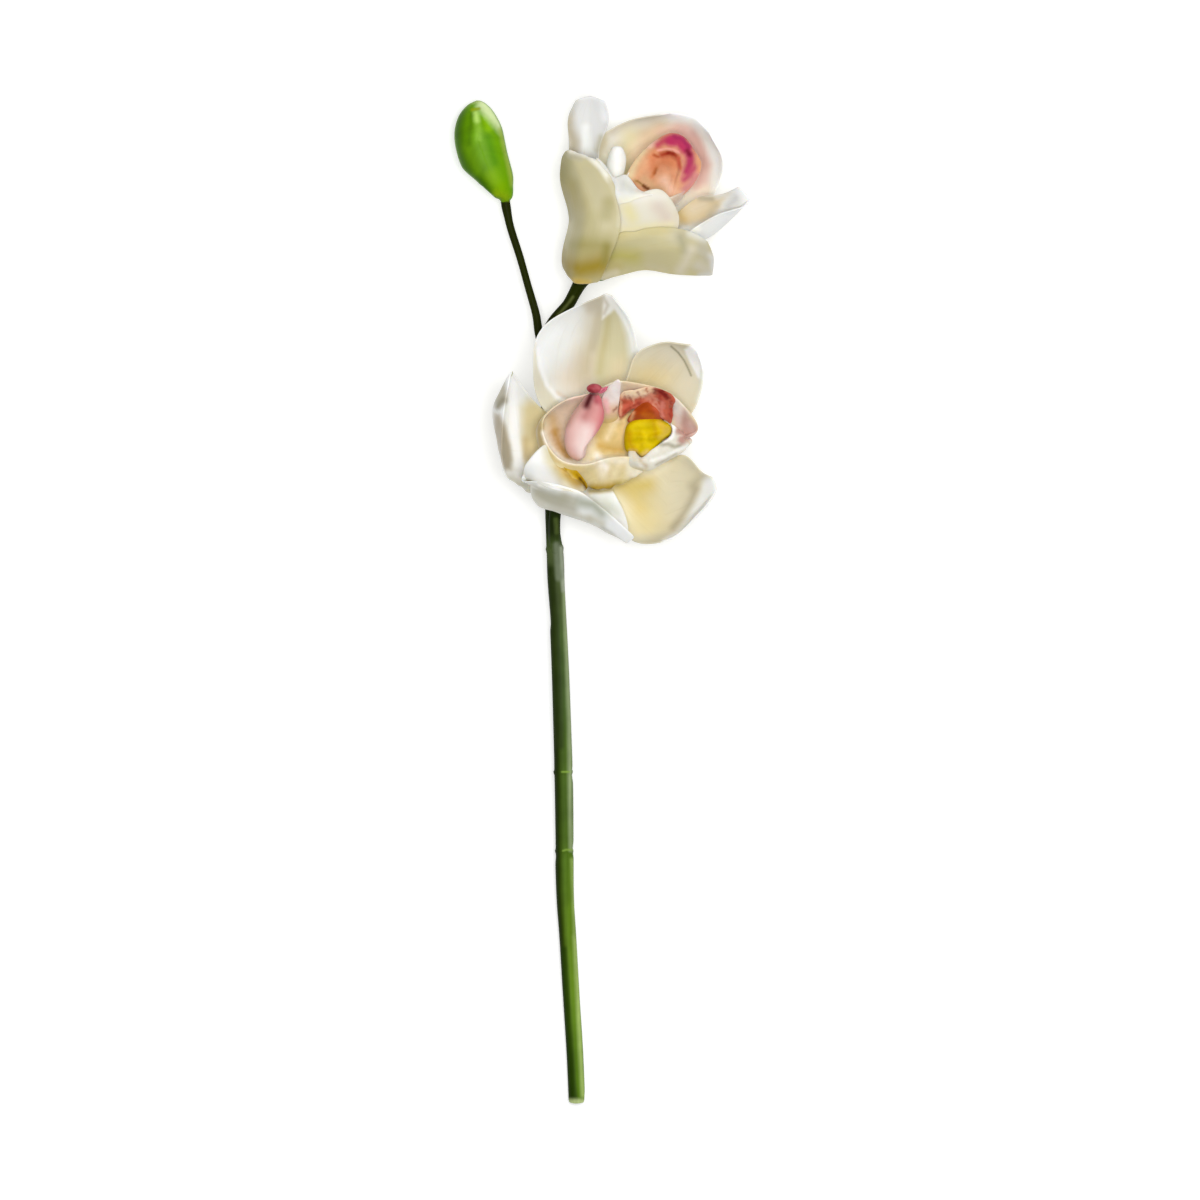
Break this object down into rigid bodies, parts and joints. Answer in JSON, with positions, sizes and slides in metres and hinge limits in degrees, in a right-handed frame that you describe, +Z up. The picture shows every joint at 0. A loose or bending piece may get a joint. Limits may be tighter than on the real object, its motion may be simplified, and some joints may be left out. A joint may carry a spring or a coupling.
{
  "type": "cymbidium orchid stem",
  "caption": "Cut cymbidium orchid stem lying down, with waxy white open blooms, rose and yellow lips and a closed green bud.",
  "frame": {"origin": "middle of the footprint's bounding box, on the surface the stem lies on", "axes": "+Y along the stem from its cut end to its flowers, +Z up from the surface, +X towards the side that the blooms lean to"},
  "size_m": [0.1182, 0.403, 0.0504],
  "materials": {
    "green_stem": "smooth, slightly waxy green stem skin",
    "bud_skin": "smooth, waxy bright green sepals",
    "waxy_white": "waxy white petal, soft satin",
    "lip_peach": "velvety peach and cream lip, soft satin",
    "lip_rose": "velvety rose and cream lip, soft satin",
    "callus_yellow": "finely grained yellow cushion",
    "callus_orange": "finely grained peach-orange cushion",
    "column_pink": "waxy pink column",
    "column_white": "waxy white column",
    "cap_crimson": "waxy crimson cap",
    "cap_cream": "waxy cream cap"
  },
  "bodies": {
    "root": {"stem": "green_stem", "bud": "bud_skin", "lower_dorsal_sepal": "waxy_white", "lower_petal_top": "waxy_white", "lower_sepal_top": "waxy_white", "lower_sepal_foot": "waxy_white", "lower_petal_foot": "waxy_white", "lower_lip": "lip_peach", "lower_callus": "callus_yellow", "lower_column": "column_pink", "lower_anther_cap": "cap_crimson", "upper_dorsal_sepal": "waxy_white", "upper_petal_front": "waxy_white", "upper_petal_back": "waxy_white", "upper_sepal_back": "waxy_white", "upper_sepal_front": "waxy_white", "upper_lip": "lip_rose", "upper_callus": "callus_orange", "upper_column": "column_white", "upper_anther_cap": "cap_cream"}
  },
  "joints": []
}
